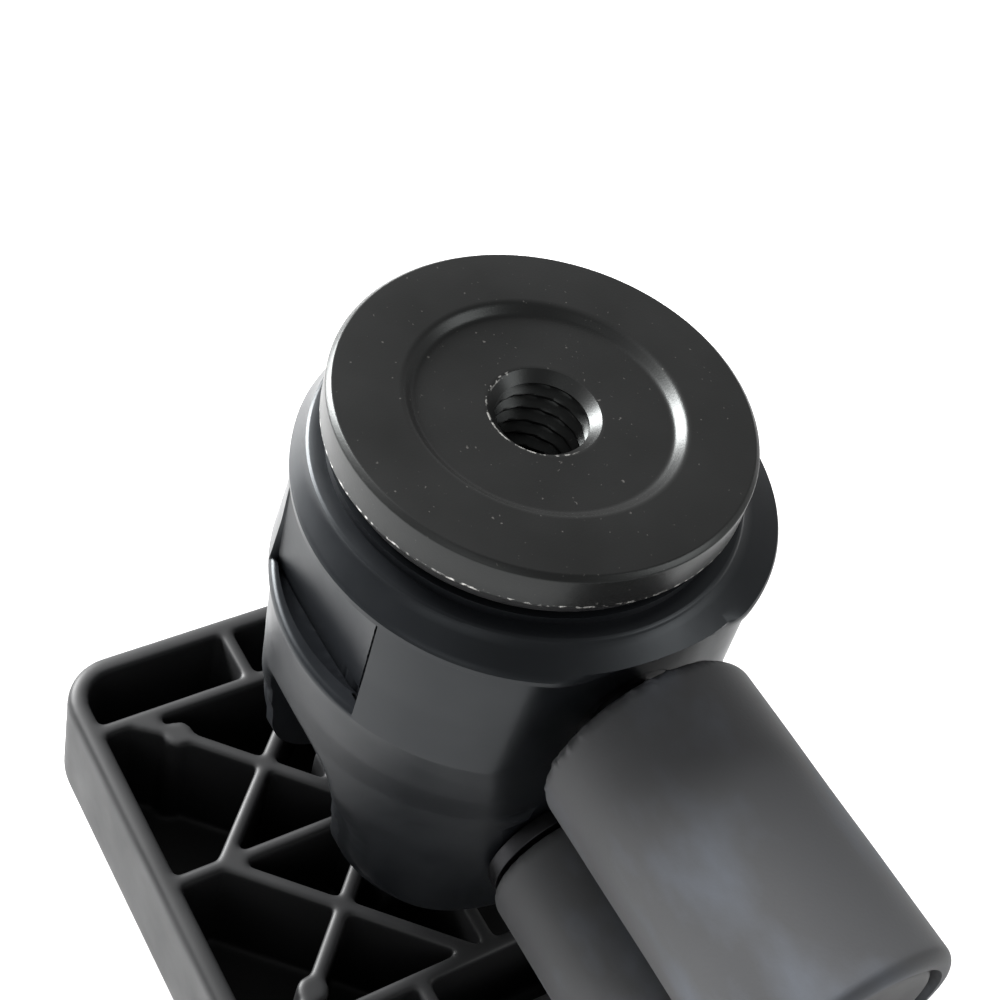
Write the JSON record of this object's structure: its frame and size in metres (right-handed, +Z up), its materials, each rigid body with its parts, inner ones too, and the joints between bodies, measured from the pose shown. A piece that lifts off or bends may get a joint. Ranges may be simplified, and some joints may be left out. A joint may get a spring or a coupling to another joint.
{
  "type": "pan and tilt head",
  "caption": "Small two-way pan and tilt head: base disc with threaded socket, fork housing, two rubber lock knobs and a ribbed camera platform on a tilting tongue.",
  "frame": {"origin": "middle of the camera platform's face, where the head stands", "axes": "+Z up, along the pan axis from the platform to the base disc; +X along the tilt shaft towards the lock knobs; -Y is the front"},
  "size_m": [0.0789, 0.0596, 0.0773],
  "materials": {
    "base_anodised": "satin black anodised, machined",
    "housing_cast": "satin black coated die casting",
    "moulded_black": "satin black moulded plastic",
    "rubber_black": "matte black rubber",
    "acetal_black": "low-friction black plastic",
    "steel_zinc": "zinc-plated steel",
    "steel_blackened": "black oxide steel",
    "brass_turned": "turned brass",
    "wheel_anodised": "satin black anodised, knurled"
  },
  "bodies": {
    "platform": {"platform_frame": "moulded_black", "tilt_tongue": "housing_cast", "tongue_screw_front": "steel_zinc", "tongue_screw_back": "steel_zinc", "camera_pad": "rubber_black"},
    "camera_screw_carrier": {"camera_screw_washer": "acetal_black"},
    "camera_screw_unit": {"camera_screw": "steel_zinc", "camera_screw_wheel": "wheel_anodised"},
    "housing": {"fork_housing": "housing_cast", "pan_lock_bush": "steel_blackened", "tilt_bolt": "steel_blackened", "tilt_friction_disc_near": "acetal_black", "tilt_friction_disc_far": "acetal_black"},
    "base": {"base_disc": "base_anodised", "pan_friction_ring": "acetal_black", "pan_retaining_washer": "steel_zinc", "pan_retaining_screw": "steel_zinc"},
    "pan_lock_carrier": {"pan_lock_shoe": "brass_turned"},
    "pan_knob": {"pan_lock_stud": "steel_blackened", "pan_knob_core": "moulded_black", "pan_knob_grip": "rubber_black", "pan_knob_cap": "moulded_black"},
    "tilt_lock_carrier": {"tilt_thrust_washer": "steel_blackened"},
    "tilt_knob": {"tilt_knob_insert": "brass_turned", "tilt_knob_core": "moulded_black", "tilt_knob_grip": "rubber_black", "tilt_knob_cap": "moulded_black"}
  },
  "joints": [
    {"name": "tilt", "type": "hinge", "parent": "platform", "child": "housing", "pos_m": [0, 0, 0.0368], "axis": [1, 0, 0], "range_deg": [-75, 75]},
    {"name": "pan", "type": "hinge", "parent": "housing", "child": "base", "pos_m": [0, 0, 0.0573], "axis": [0, 0, 1], "continuous": true},
    {"name": "pan_lock_travel", "type": "slide", "parent": "housing", "child": "pan_lock_carrier", "axis": [1, 0, 0], "range_m": [0, 0.0015]},
    {"name": "pan_lock_turn", "type": "hinge", "parent": "pan_lock_carrier", "child": "pan_knob", "pos_m": [0, 0.0019, 0.0576], "axis": [1, 0, 0], "range_deg": [0, 540]},
    {"name": "tilt_lock_travel", "type": "slide", "parent": "housing", "child": "tilt_lock_carrier", "axis": [1, 0, 0], "range_m": [0, 0.0015]},
    {"name": "tilt_lock_turn", "type": "hinge", "parent": "tilt_lock_carrier", "child": "tilt_knob", "pos_m": [0, 0, 0.0368], "axis": [1, 0, 0], "range_deg": [0, 540]},
    {"name": "camera_screw_travel", "type": "slide", "parent": "platform", "child": "camera_screw_carrier", "axis": [0, 0, -1], "range_m": [0, 0.004]},
    {"name": "camera_screw_turn", "type": "hinge", "parent": "camera_screw_carrier", "child": "camera_screw_unit", "pos_m": [0, 0.0155, 0.0133], "axis": [0, 0, 1], "continuous": true}
  ],
  "couplings": [
    {"joint": "pan_lock_turn", "follows": "pan_lock_travel", "rad_per_m": 6283.2},
    {"joint": "tilt_lock_turn", "follows": "tilt_lock_travel", "rad_per_m": 6283.2}
  ]
}
